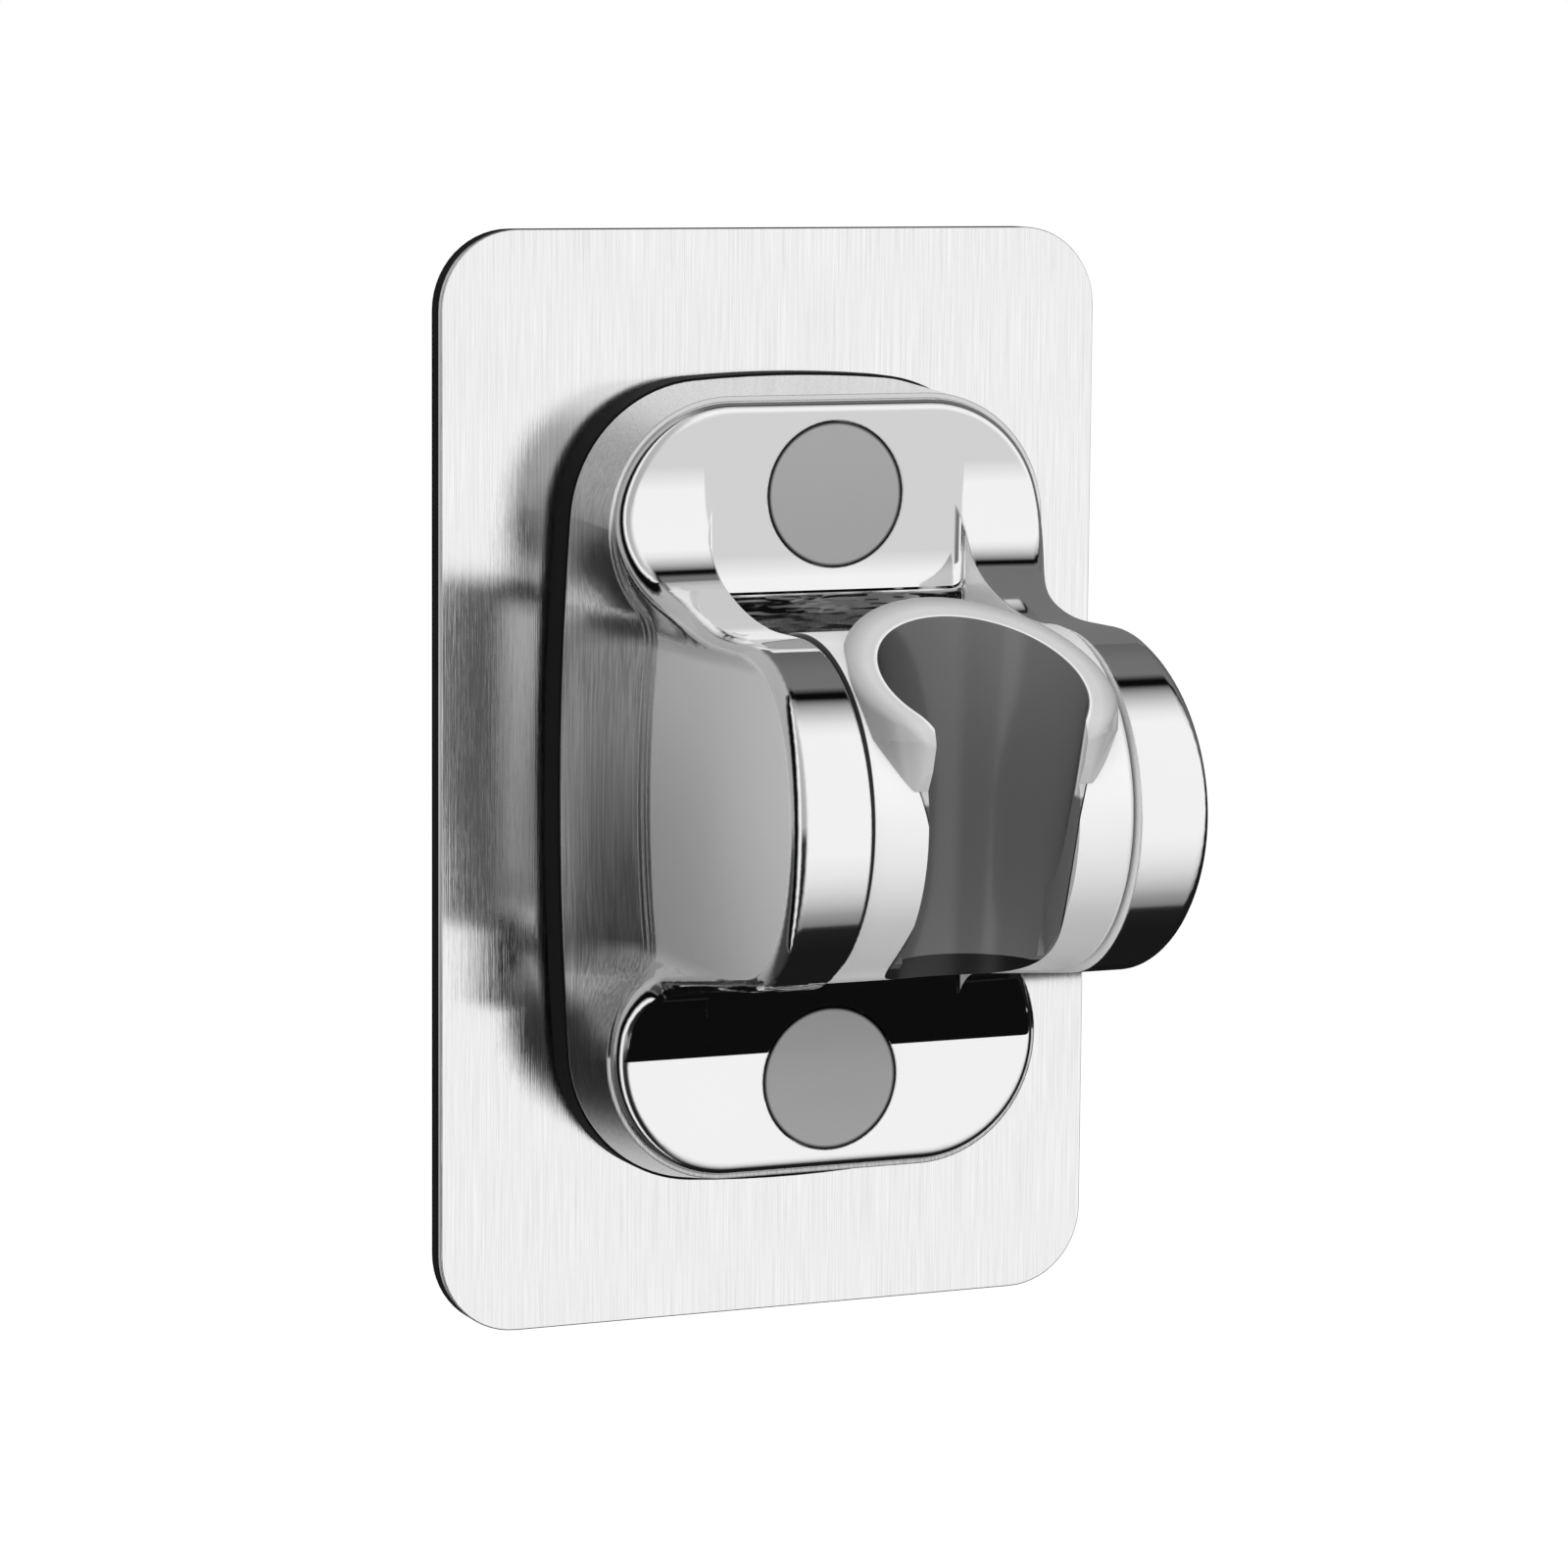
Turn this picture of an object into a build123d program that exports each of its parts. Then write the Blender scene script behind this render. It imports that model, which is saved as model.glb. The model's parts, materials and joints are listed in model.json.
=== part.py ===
from build123d import *
import math
import os

# Hand shower holder. All sizes are in millimetres.
# +Z is up, +X is to the right and +Y points into the wall. The origin is the centre of the
# adhesive pad's wall face, so the whole holder lies at y below zero.

# Wall panel and the pad behind it
panel_width = 80.0
panel_height = 124.0
panel_corner = 9.0
panel_thickness = 0.8
pad_thickness = 2.2
panel_edge_round = 0.2

# Gasket between the panel and the bracket body
gasket_thickness = 4.0
gasket_reach = 0.3
stud_flange_clearance = 0.3

# Back outline of the bracket body, bowed on all four sides
back_middle = 0.1
back_half_width = 27.4
back_half_height = 45.6
back_corner = 16.0
side_bow = 395.0
end_bow = 145.0

# Front outline: an upper and a lower lobe with a waist between them
body_depth = 13.0
body_middle = 0.6
lobe_half_width = 25.7
lobe_radius = 13.8
lobe_rise = 29.3
waist_half_width = 22.2
waist_bow = 167.0
waist_blend = 6.0
ledge = 0.5
ledge_depth = 1.7
edge_round = 1.6
wall = 2.5

# Ears, as a side profile whose round nose lies ahead of and below the barrel's axis
pivot_reach = 38.33
pivot_height = 2.23
ear_proud = 0.03
ear_forward = 0.72
ear_drop = 0.38
ear_gap = 31.0
ear_cove = 1.2
ear_flare = 2.4
ear_bottom_slope = 9.0
upper_run = 35.0
upper_turn = 25.0
upper_sweep = 10.5
lower_sweep = 6.0
trough_radius = 32.3

# Fixings under the caps
cap_spacing = 65.4
cap_diameter = 16.0
cap_thickness = 1.6
cap_gap = 0.15
cap_skirt_length = 2.4
cap_skirt_wall = 1.1
pocket_diameter = 13.0
pocket_floor = 2.5
boss_wall = 1.6
stud_diameter = 4.0
stud_length = 13.0
stud_flange_diameter = 5.5
stud_flange_thickness = 0.8
stud_hole_gap = 0.25
nut_across_flats = 7.0
nut_thickness = 3.2
nut_bore_gap = 0.05
washer_diameter = 9.0
washer_thickness = 0.8
washer_hole_gap = 0.15

# Barrel between the ears
barrel_radius = 18.62
barrel_end_gap = 0.3
barrel_edge_round = 0.6
slot_width = 17.4

# Bore for the handset's cone, in the liner
mouth_behind_front = 5.15
mouth_rise = 1.515
mouth_radius = 11.1
foot_radius = 8.0
bore_length = 28.7
bore_lean = 5.6
liner_wall = 1.1
liner_gap = 0.1
liner_foot_lift = 2.6

# Raised collar round the mouth
collar_radius = 14.6
collar_front = 7.8
collar_set_back = 0.9
collar_corner = 6.0
collar_slope = 27.4
collar_tuck = 27.5
collar_nose = 4.0
collar_nose_reach = 6.73
collar_round = 0.8
collar_waist_drop = 5.1
collar_foot_drop = 12.0
collar_foot_inset = 4.4
collar_foot_tuck = 3.4

# Pins, bushes, springs and rings on the barrel's axis
pin_diameter = 5.0
pin_run_gap = 0.06
pin_collar_diameter = 6.8
pin_collar_length = 1.2
pin_tail_diameter = 3.0
pin_tail_length = 1.6
pin_tip_chamfer = 0.5
pin_end_gap = 0.5
bush_diameter = 8.0
bush_flange_diameter = 11.0
bush_flange_thickness = 0.8
bush_length = 5.4
guide_diameter = 7.2
guide_length = 2.0
end_bore_depth = 7.0
spring_wire = 0.6
spring_turns = 3
spring_gap = 0.25
ring_diameter = 15.0
ring_section = 1.7
ring_groove_depth = 1.5
ring_groove_gap = 0.15
ring_face_gap = 0.1

# Worked out from the sizes above
ear_radius = barrel_radius + ear_proud
panel_front = -(pad_thickness + panel_thickness)
gasket_front = panel_front - gasket_thickness
body_front = gasket_front - body_depth
pivot_y = gasket_front - pivot_reach
ear_face = ear_gap / 2
barrel_end = ear_face - barrel_end_gap
mouth_forward = barrel_radius - mouth_behind_front
mouth_above_pivot = math.sqrt(barrel_radius ** 2 - mouth_forward ** 2) + mouth_rise
far = 2 * (panel_height + pivot_reach)


def facing(y):
    """Plane across the holder at depth y, drawn in X and Z, with its normal to the front."""
    return Plane(origin=(0, y, 0), x_dir=(1, 0, 0), z_dir=(0, -1, 0))


def sideways(x):
    """Plane along the holder at x, drawn in Y and Z, with its normal along +X."""
    return Plane(origin=(x, 0, 0), x_dir=(0, 1, 0), z_dir=(1, 0, 0))


def circles_meet(first, first_radius, second, second_radius):
    """The crossing of two circles that lies furthest to the right."""
    gap_x = second[0] - first[0]
    gap_y = second[1] - first[1]
    gap = math.hypot(gap_x, gap_y)
    along = (gap ** 2 + first_radius ** 2 - second_radius ** 2) / (2 * gap)
    off = math.sqrt(first_radius ** 2 - along ** 2)
    middle = (first[0] + gap_x * along / gap, first[1] + gap_y * along / gap)
    ends = []
    for sign in (1, -1):
        ends.append((middle[0] - sign * gap_y * off / gap, middle[1] + sign * gap_x * off / gap))
    return max(ends)


def bearing(start, end):
    """Angle in degrees of the line from start to end."""
    return math.degrees(math.atan2(end[1] - start[1], end[0] - start[0]))


def arc_edge(centre, radius, start, end):
    """Arc about a centre, from one angle to another."""
    return CenterArc(centre, radius, start, end - start)


def closed_outline(quarter, top, bow, middle):
    """Whole outline from the arcs of its upper right quarter, clockwise from the top.

    Each arc is (centre, radius, start angle, end angle). top is the edge across the top, bow is
    the arc across the waist on the right, and middle is the height of the outline's centre."""
    right = list(quarter)
    right.append(bow)
    for centre, radius, start, end in reversed(quarter):
        right.append(((centre[0], -centre[1]), radius, -end, -start))
    left = []
    for centre, radius, start, end in reversed(right):
        left.append(((-centre[0], centre[1]), radius, 180 - end, 180 - start))
    edges = [top]
    edges += [arc_edge(*arc) for arc in right]
    edges.append(top.mirror(Plane.XZ))
    edges += [arc_edge(*arc) for arc in left]
    return Pos(0, middle, 0) * make_face(edges)


def lobe_joints(grow):
    """Centres and angles where a lobe, the blend and the waist's bow meet."""
    lobe_centre = (lobe_half_width - lobe_radius, lobe_rise)
    bow_centre = (waist_half_width - waist_bow, 0)
    blend = waist_blend - grow
    reach = lobe_radius + grow + blend
    blend_centre = circles_meet(lobe_centre, reach, bow_centre, waist_bow + grow + blend)
    return lobe_centre, blend_centre, bow_centre, blend


def front_outline(grow=0.0):
    """Two lobes with a waist, seen from the front, and grown outwards by grow."""
    lobe_centre, blend_centre, bow_centre, blend = lobe_joints(grow)
    lobe_end = bearing(lobe_centre, blend_centre)
    bow_end = bearing(bow_centre, blend_centre)
    quarter = [
        (lobe_centre, lobe_radius + grow, 90, 0),
        (lobe_centre, lobe_radius + grow, 0, lobe_end),
        (blend_centre, blend, lobe_end + 180, bow_end + 180),
    ]
    top_height = lobe_rise + lobe_radius + grow
    top = Line((-lobe_centre[0], top_height), (lobe_centre[0], top_height))
    bow = (bow_centre, waist_bow + grow, bow_end, -bow_end)
    return closed_outline(quarter, top, bow, body_middle)


def back_outline(grow=0.0):
    """Rounded rectangle with bowed sides, with as many edges as the front outline."""
    end_centre = (0, back_half_height - end_bow)
    side_centre = (back_half_width - side_bow, 0)
    corner = circles_meet(end_centre, end_bow - back_corner, side_centre, side_bow - back_corner)
    lobe_centre, blend_centre, bow_centre, blend = lobe_joints(0)
    lobe_angle = math.radians(bearing(lobe_centre, blend_centre))
    bow_angle = math.radians(bearing(bow_centre, blend_centre))
    upper_split = lobe_rise + lobe_radius * math.sin(lobe_angle)
    lower_split = waist_bow * math.sin(bow_angle)
    angles = [bearing(side_centre, corner)]
    angles += [math.degrees(math.asin(height / side_bow)) for height in (upper_split, lower_split)]
    corner_start = bearing(end_centre, corner)
    side_radius = side_bow + grow
    quarter = [
        (corner, back_corner + grow, corner_start, angles[0]),
        (side_centre, side_radius, angles[0], angles[1]),
        (side_centre, side_radius, angles[1], angles[2]),
    ]
    top = arc_edge(end_centre, end_bow + grow, 180 - corner_start, corner_start)
    bow = (side_centre, side_radius, angles[2], -angles[2])
    return closed_outline(quarter, top, bow, back_middle)


def ear_profile():
    """Side view of the front face with an ear standing out of it, drawn in Y and Z."""
    centre = Vector(pivot_y - ear_forward, pivot_height - ear_drop)
    crown = centre + Vector(0, ear_radius)
    turn = math.radians(upper_turn)
    lean = Vector(math.sin(turn), -math.cos(turn))
    sweep_y = body_front - upper_sweep
    run_centre = Vector(sweep_y - (upper_run - upper_sweep) * lean.X, crown.Y + upper_run)
    run_end = run_centre + lean * upper_run
    sweep_centre = run_end - lean * upper_sweep
    down = math.radians(ear_bottom_slope)
    under = Vector(-math.sin(down), -math.cos(down))
    low_y = body_front - lower_sweep
    low_lift = ear_radius + lower_sweep - under.X * (low_y - centre.X)
    low_centre = Vector(low_y, centre.Y + low_lift / under.Y)
    run_middle = run_centre + (lean + Vector(0, -1)).normalized() * upper_run
    sweep_middle = sweep_centre + (Vector(1, 0) + lean).normalized() * upper_sweep
    low_middle = low_centre + (Vector(1, 0) - under).normalized() * lower_sweep
    points = [
        Vector(body_front, sweep_centre.Y),
        run_end,
        Vector(run_centre.X, crown.Y),
        crown,
        centre + under * ear_radius,
        low_centre - under * lower_sweep,
        Vector(body_front, low_centre.Y),
    ]
    back = gasket_front - wall
    return make_face([
        Line((back, far), (body_front, far)),
        Line((body_front, far), points[0]),
        ThreePointArc(points[0], sweep_middle, points[1]),
        ThreePointArc(points[1], run_middle, points[2]),
        Line(points[2], points[3]),
        ThreePointArc(points[3], centre - Vector(ear_radius, 0), points[4]),
        Line(points[4], points[5]),
        ThreePointArc(points[5], low_middle, points[6]),
        Line(points[6], (body_front, -far)),
        Line((body_front, -far), (back, -far)),
        Line((back, -far), (back, far)),
    ])


def pivot_rod(radius, start, end):
    """Cylinder on the barrel's axis, from x = start to x = end."""
    plane = Plane(origin=(start, pivot_y, pivot_height), x_dir=(0, 1, 0), z_dir=(1, 0, 0))
    return extrude(plane * Circle(radius), end - start)


def forward_rod(radius, height, start, end):
    """Cylinder towards the front at x = 0, from y = start to y = end."""
    return extrude(facing(start) * Pos(0, height, 0) * Circle(radius), start - end)


def across(half_width, low_y, high_y):
    """Block centred on x = 0 that runs past the holder above and below."""
    return Pos(0, (low_y + high_y) / 2, 0) * Box(2 * half_width, high_y - low_y, far)


def ear_gap_block():
    """Space between the ears, ahead of the front face, with a cove left at each ear's foot."""
    block = across(ear_face, -far, body_front)
    back_edges = block.faces().sort_by(Axis.Y)[-1].edges().filter_by(Axis.Z)
    return fillet(back_edges, ear_cove)


def in_row(shape, side):
    """The right-hand shape as it is, or mirrored for the left-hand side."""
    if side > 0:
        return shape
    return shape.mirror(Plane.YZ)


def cap_height(side):
    """Height of the upper or lower cap's centre."""
    return body_middle + side * cap_spacing / 2


def adhesive_pad():
    outline = RectangleRounded(panel_width, panel_height, panel_corner)
    return extrude(facing(0) * outline, pad_thickness)


def wall_panel():
    outline = RectangleRounded(panel_width, panel_height, panel_corner)
    sheet = extrude(facing(-pad_thickness) * outline, panel_thickness)
    front_edges = sheet.faces().sort_by(Axis.Y)[0].edges()
    return fillet(front_edges, panel_edge_round)


def panel_stud(side):
    """Weld stud: a flange on the panel and a threaded shank."""
    height = cap_height(side)
    flange_front = panel_front - stud_flange_thickness
    flange = forward_rod(stud_flange_diameter / 2, height, panel_front, flange_front)
    shank = forward_rod(stud_diameter / 2, height, panel_front, panel_front - stud_length)
    tip = shank.faces().sort_by(Axis.Y)[0].edges()
    return flange + chamfer(tip, stud_diameter / 10)


def mounting_gasket():
    plate = extrude(facing(panel_front) * back_outline(gasket_reach), gasket_thickness)
    hole = stud_flange_diameter / 2 + stud_flange_clearance
    for side in (1, -1):
        plate -= forward_rod(hole, cap_height(side), panel_front, gasket_front)
    return plate


def ear_block():
    """Front skin of the body and both ears, before the space between the ears is cut."""
    slope = math.tan(math.radians(ear_flare))
    back = gasket_front - wall
    front = pivot_y - ear_forward - ear_radius - edge_round
    sections = [facing(y) * front_outline((body_front - y) * slope) for y in (back, front)]
    block = loft(sections, ruled=True) & extrude(sideways(-far) * ear_profile(), 2 * far)
    rim = []
    for edge in block.edges().filter_by(Axis.Y, reverse=True):
        middle = edge.center()
        across_face = abs(edge.tangent_at(0.5).X) > 0.999
        at_end = abs(middle.Z - body_middle) > lobe_rise
        if middle.Y < body_front + edge_round / 2 and (at_end or not across_face):
            rim.append(edge)
    return fillet(rim, edge_round)


def body_hollow():
    """Space inside the shell, clear of the trough's wall and of the two bosses."""
    back = facing(gasket_front) * back_outline(-wall)
    front = facing(body_front + wall) * front_outline(-wall)
    hollow = loft([back, front], ruled=True)
    hollow -= pivot_rod(trough_radius + wall, -ear_face - wall, ear_face + wall)
    boss = pocket_diameter / 2 + wall + boss_wall
    for side in (1, -1):
        hollow -= forward_rod(boss, cap_height(side), 0, body_front)
    return hollow


def bracket_body():
    """Chromed body: drafted shell, two lobes, two ears and the trough behind the barrel."""
    back = facing(gasket_front) * back_outline()
    shoulder = facing(body_front + ledge_depth) * front_outline(ledge)
    body = loft([back, shoulder], ruled=True) + ear_block()
    body -= ear_gap_block()
    body -= pivot_rod(trough_radius, -ear_face, ear_face)
    body -= body_hollow()
    cap_seat = body_front + cap_thickness
    pocket_end = gasket_front - pocket_floor
    for side in (1, -1):
        height = cap_height(side)
        body -= forward_rod(cap_diameter / 2 + cap_gap, height, cap_seat, -far)
        body -= forward_rod(pocket_diameter / 2, height, pocket_end, -far)
        body -= forward_rod(stud_diameter / 2 + stud_hole_gap, height, 0, -far)
        body -= in_row(bush_blank(), side)
    return body


def screw_cap(side):
    """Flush cap with a skirt that snaps into the pocket."""
    height = cap_height(side)
    seat = body_front + cap_thickness
    disc = forward_rod(cap_diameter / 2, height, seat, body_front)
    skirt_radius = pocket_diameter / 2 - cap_gap
    skirt = forward_rod(skirt_radius, height, seat + cap_skirt_length, seat)
    skirt -= forward_rod(skirt_radius - cap_skirt_wall, height, seat + cap_skirt_length, seat)
    return disc + skirt


def stud_washer(side):
    height = cap_height(side)
    back = gasket_front - pocket_floor
    front = back - washer_thickness
    disc = forward_rod(washer_diameter / 2, height, back, front)
    return disc - forward_rod(stud_diameter / 2 + washer_hole_gap, height, back, front)


def stud_nut(side):
    height = cap_height(side)
    back = gasket_front - pocket_floor - washer_thickness
    front = back - nut_thickness
    hexagon = RegularPolygon(nut_across_flats / 2, 6, major_radius=False)
    nut = extrude(facing(back) * Pos(0, height, 0) * hexagon, nut_thickness)
    return nut - forward_rod(stud_diameter / 2 + nut_bore_gap, height, back, front)


def bush_blank():
    """Outside of the right-hand bush, which is also its seat in the ear."""
    body = pivot_rod(bush_diameter / 2, ear_face, ear_face + bush_length)
    flange = pivot_rod(bush_flange_diameter / 2, ear_face, ear_face + bush_flange_thickness)
    return body + flange


def pivot_bush(side):
    bore = pivot_rod(pin_diameter / 2 + pin_run_gap, 0, ear_face + bush_length)
    return in_row(bush_blank() - bore, side)


def pin_collar_end():
    """Outer face of the pin's collar, which rests on the guide."""
    return barrel_end - guide_length


def pivot_pin(side):
    """Stepped pin: a tip in the ear, a collar behind the guide and a tail in the spring."""
    collar_end = pin_collar_end()
    collar_start = collar_end - pin_collar_length
    tip_end = ear_face + bush_length - pin_end_gap
    tip = pivot_rod(pin_diameter / 2, collar_start, tip_end)
    tip = chamfer(tip.faces().sort_by(Axis.X)[-1].edges(), pin_tip_chamfer)
    collar = pivot_rod(pin_collar_diameter / 2, collar_start, collar_end)
    tail = pivot_rod(pin_tail_diameter / 2, collar_start - pin_tail_length, collar_start)
    return in_row(tip + collar + tail, side)


def pin_guide(side):
    sleeve = pivot_rod(guide_diameter / 2, pin_collar_end(), barrel_end)
    bore = pivot_rod(pin_diameter / 2 + pin_run_gap, pin_collar_end(), barrel_end)
    return in_row(sleeve - bore, side)


def pin_spring(side):
    """Coil spring between the end of the barrel's bore and the pin's collar."""
    start = barrel_end - end_bore_depth + spring_wire / 2
    end = pin_collar_end() - pin_collar_length - spring_wire / 2
    radius = guide_diameter / 2 - spring_gap - spring_wire / 2
    path = Helix((end - start) / spring_turns, end - start, radius)
    section = Plane(origin=path @ 0, z_dir=path % 0) * Circle(spring_wire / 2)
    coil = sweep(section, path)
    plane = Plane(origin=(start, pivot_y, pivot_height), x_dir=(0, 1, 0), z_dir=(1, 0, 0))
    return in_row(plane * coil, side)


def ring_middle():
    """Place along X of the friction ring's centre circle."""
    return ear_face - ring_face_gap - ring_section / 2


def friction_ring(side):
    plane = Plane(origin=(ring_middle(), pivot_y, pivot_height), x_dir=(0, 1, 0), z_dir=(1, 0, 0))
    return in_row(plane * Torus(ring_diameter / 2, ring_section / 2), side)


def ring_groove():
    """Groove in the barrel's right-hand end for the friction ring."""
    inner = ring_diameter / 2 - ring_section / 2 - ring_groove_gap
    outer = ring_diameter / 2 + ring_section / 2 + ring_groove_gap
    start = barrel_end - ring_groove_depth
    return pivot_rod(outer, start, barrel_end) - pivot_rod(inner, start, barrel_end)


def mouth_centre():
    """Centre of the bore at its mouth, in Y and Z."""
    return pivot_y - mouth_forward, pivot_height + mouth_above_pivot


def bore_cone(extra):
    """Cone of the bore, grown by extra, and run past both ends of the barrel."""
    lean = math.radians(bore_lean)
    centre_y, centre_z = mouth_centre()
    up = Vector(0, -math.sin(lean), math.cos(lean))
    taper = (mouth_radius - foot_radius) / bore_length
    above = barrel_radius
    below = 2 * barrel_radius
    start = Vector(0, centre_y, centre_z) - up * below
    base_radius = mouth_radius - taper * below + extra
    top_radius = mouth_radius + taper * above + extra
    return Solid.make_cone(base_radius, top_radius, above + below, Plane(start, z_dir=up))


def slot_cut():
    """Slot from the bore's middle to the front, all the way down."""
    lean = math.tan(math.radians(bore_lean))
    behind = pivot_y - mouth_forward + lean * bore_length
    return across(slot_width / 2, -far, behind)


def collar_outline(radius, front, corner):
    """Plan of the collar, rounded at the back, with rounded corners at the front."""
    centre_y = mouth_centre()[0] + collar_set_back
    corner_off = math.sqrt((radius - corner) ** 2 - (front - corner) ** 2)
    turn = bearing((0, 0), (corner_off, corner - front))
    right = (corner_off, centre_y + corner - front)
    left = (-corner_off, centre_y + corner - front)
    return make_face([
        arc_edge((0, centre_y), radius, turn, 180 - turn),
        arc_edge(left, corner, 180 - turn, 270),
        Line((-corner_off, centre_y - front), (corner_off, centre_y - front)),
        arc_edge(right, corner, -90, turn),
    ])


def collar_profile():
    """Side view of the collar, drawn in Y and Z: a sloping rim, a round nose and a tucked front."""
    mouth = Vector(*mouth_centre())
    slope = math.radians(collar_slope)
    tuck = math.radians(collar_tuck)
    rim_normal = Vector(-math.sin(slope), math.cos(slope))
    front_normal = Vector(-math.cos(tuck), -math.sin(tuck))
    ahead = collar_nose_reach - collar_nose
    below = (collar_nose + ahead * math.sin(slope)) / math.cos(slope)
    centre = mouth - Vector(ahead, below)
    rim_end = centre + rim_normal * collar_nose
    front_start = centre + front_normal * collar_nose
    rim_start = rim_end + Vector(math.cos(slope), math.sin(slope)) * 3 * collar_radius
    front_end = front_start + Vector(math.sin(tuck), -math.cos(tuck)) * 2 * collar_radius
    return make_face([
        Line(rim_start, rim_end),
        ThreePointArc(rim_end, centre - Vector(collar_nose, 0), front_start),
        Line(front_start, front_end),
        Line(front_end, (rim_start.X, front_end.Y)),
        Line((rim_start.X, front_end.Y), rim_start),
    ])


def collar_blank():
    """Collar before the barrel, the bore and the slot are cut out of it."""
    waist = mouth_centre()[1] - collar_waist_drop
    outline = collar_outline(collar_radius, collar_front, collar_corner)
    foot_outline = collar_outline(
        collar_radius - collar_foot_inset,
        collar_front - collar_foot_tuck,
        collar_corner - collar_foot_inset,
    )
    top = extrude(Pos(0, 0, waist) * outline, far / 4)
    foot = Pos(0, 0, waist - collar_foot_drop) * foot_outline
    blank = top + loft([Pos(0, 0, waist) * outline, foot], ruled=True)
    blank &= extrude(sideways(-far) * collar_profile(), 2 * far)
    rim_edges = []
    for face in blank.faces():
        if abs(face.normal_at().X) < 0.001 and face.normal_at().Y < -0.1:
            rim_edges += face.edges().filter_by(Axis.X, reverse=True)
    return fillet(rim_edges, collar_round)


def cradle_barrel():
    """Chromed barrel with the liner's seat, the slot and the bores for the pins."""
    barrel = pivot_rod(barrel_radius, -barrel_end, barrel_end)
    barrel = fillet(barrel.edges().filter_by(GeomType.CIRCLE), barrel_edge_round)
    barrel -= bore_cone(liner_wall + liner_gap)
    barrel -= slot_cut()
    end_bore = pivot_rod(guide_diameter / 2, barrel_end - end_bore_depth, barrel_end)
    for side in (1, -1):
        barrel -= in_row(end_bore, side)
        barrel -= in_row(ring_groove(), side)
    return barrel


def cradle_liner():
    """Plastic liner: a conical tube in the barrel and the collar that stands on it."""
    seat = pivot_rod(barrel_radius + liner_gap, -ear_face, ear_face)
    tube = bore_cone(liner_wall)
    inside = tube & seat
    foot = pivot_height - barrel_radius + liner_foot_lift
    inside -= Pos(0, pivot_y, foot - far / 2) * Box(far, far, far)
    liner = collar_blank() - (seat - tube) + inside
    liner -= bore_cone(0)
    return liner - slot_cut()


os.makedirs("parts", exist_ok=True)

nodes = {
    "adhesive_pad": adhesive_pad(),
    "wall_panel": wall_panel(),
    "mounting_gasket": mounting_gasket(),
    "bracket_body": bracket_body(),
    "cradle_barrel": cradle_barrel(),
    "cradle_liner": cradle_liner(),
}
for name, side in (("upper", 1), ("lower", -1)):
    nodes["panel_stud_" + name] = panel_stud(side)
    nodes["stud_washer_" + name] = stud_washer(side)
    nodes["stud_nut_" + name] = stud_nut(side)
    nodes["screw_cap_" + name] = screw_cap(side)
for name, side in (("right", 1), ("left", -1)):
    nodes["pivot_bush_" + name] = pivot_bush(side)
    nodes["pivot_pin_" + name] = pivot_pin(side)
    nodes["pin_guide_" + name] = pin_guide(side)
    nodes["pin_spring_" + name] = pin_spring(side)
    nodes["friction_ring_" + name] = friction_ring(side)

for name, shape in nodes.items():
    export_step(shape, "parts/" + name + ".step")
    print(name, round(shape.volume, 1))
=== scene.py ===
# %% [markdown]
# # A hand shower holder, finished for the camera
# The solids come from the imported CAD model. Blender adds what a solid lacks: the brushed
# steel of the panel, the mirror of the plated castings, the dull skin of rubber and
# plastic, and the light of a small product studio. A solid whose shape is right stays
# where it is and only gets a better material.

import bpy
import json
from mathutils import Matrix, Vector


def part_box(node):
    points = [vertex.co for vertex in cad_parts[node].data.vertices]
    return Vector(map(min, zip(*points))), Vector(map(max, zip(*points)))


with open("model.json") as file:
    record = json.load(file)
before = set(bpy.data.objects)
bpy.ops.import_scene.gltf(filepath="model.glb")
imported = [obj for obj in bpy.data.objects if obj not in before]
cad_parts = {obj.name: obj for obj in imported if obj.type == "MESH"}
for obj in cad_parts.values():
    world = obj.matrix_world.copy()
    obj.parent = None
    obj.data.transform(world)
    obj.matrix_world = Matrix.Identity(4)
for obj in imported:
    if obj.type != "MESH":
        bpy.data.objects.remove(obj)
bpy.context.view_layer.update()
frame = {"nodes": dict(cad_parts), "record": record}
nodes = frame["nodes"]

# %% The other modules
import json
import math
import bpy
import bmesh
from mathutils import Matrix, Vector

scene = bpy.context.scene
print("Blender", bpy.app.version_string)

# %% [markdown]
# ## The camera
# The holder is seen from its left and a little from above, through a long lens. The four
# corners of the flat panel fix the camera: its turn, its height, its small roll and the
# length of its lens were worked out from where those corners lie in the frame. The
# camera is built from its own three directions, so no tracking constraint is needed.

# %% Place the camera
TURN = math.radians(-23.58)
HEIGHT = math.radians(7.497)
ROLL = math.radians(0.47)
DISTANCE = 0.629195
ASIDE = 0.0026
BELOW = 0.001405
LENS_PIXELS = 5612.35
IMAGE_PIXELS = 1600
SENSOR = 36.0
NEAREST = 0.01

back = Vector((
    math.sin(TURN) * math.cos(HEIGHT),
    -math.cos(TURN) * math.cos(HEIGHT),
    math.sin(HEIGHT),
))
level = Vector((math.cos(TURN), math.sin(TURN), 0))
upward = back.cross(level)
right = math.cos(ROLL) * level + math.sin(ROLL) * upward
up = math.cos(ROLL) * upward - math.sin(ROLL) * level
place = DISTANCE * back + ASIDE * right - BELOW * up

lens = bpy.data.cameras.new("studio_camera")
lens.sensor_width = SENSOR
lens.lens = SENSOR * LENS_PIXELS / IMAGE_PIXELS
lens.clip_start = NEAREST
camera = bpy.data.objects.new("studio_camera", lens)
camera.matrix_world = Matrix.Translation(place) @ Matrix((right, up, back)).transposed().to_4x4()
scene.collection.objects.link(camera)
scene.camera = camera
print("camera at", [round(v, 4) for v in place], "lens", round(lens.lens, 2), "mm")

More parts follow.
